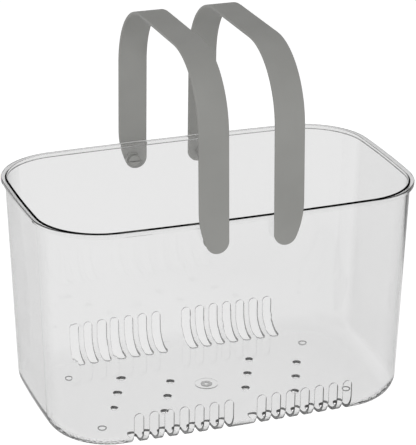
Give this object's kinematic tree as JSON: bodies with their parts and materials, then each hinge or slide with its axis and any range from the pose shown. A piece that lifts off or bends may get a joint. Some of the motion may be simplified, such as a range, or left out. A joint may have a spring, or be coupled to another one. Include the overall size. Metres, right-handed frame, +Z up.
{
  "type": "shower caddy",
  "caption": "Clear rectangular tub with rounded corners, drain slots and drain holes, and upright arched band handles that fold outward over its ends.",
  "frame": {"origin": "on the ground under the feet, at the middle of the tub", "axes": "+X along the tub's length towards the right handle, +Y towards the back long wall, +Z up"},
  "size_m": [0.2626, 0.1668, 0.2598],
  "materials": {
    "clear_plastic": "clear polished",
    "grey_plastic": "satin matt"
  },
  "bodies": {
    "tub": {"tub": "clear_plastic"},
    "left_handle": {"left_handle": "grey_plastic", "left_front_pivot_pin": "grey_plastic", "left_back_pivot_pin": "grey_plastic"},
    "right_handle": {"right_handle": "grey_plastic", "right_front_pivot_pin": "grey_plastic", "right_back_pivot_pin": "grey_plastic"}
  },
  "joints": [
    {"name": "left_handle_hinge", "type": "hinge", "parent": "tub", "child": "left_handle", "pos_m": [-0.026, 0, 0.1422], "axis": [0, 1, 0], "range_deg": [-113, 7]},
    {"name": "right_handle_hinge", "type": "hinge", "parent": "tub", "child": "right_handle", "pos_m": [0.026, 0, 0.1422], "axis": [0, 1, 0], "range_deg": [-7, 113]}
  ]
}
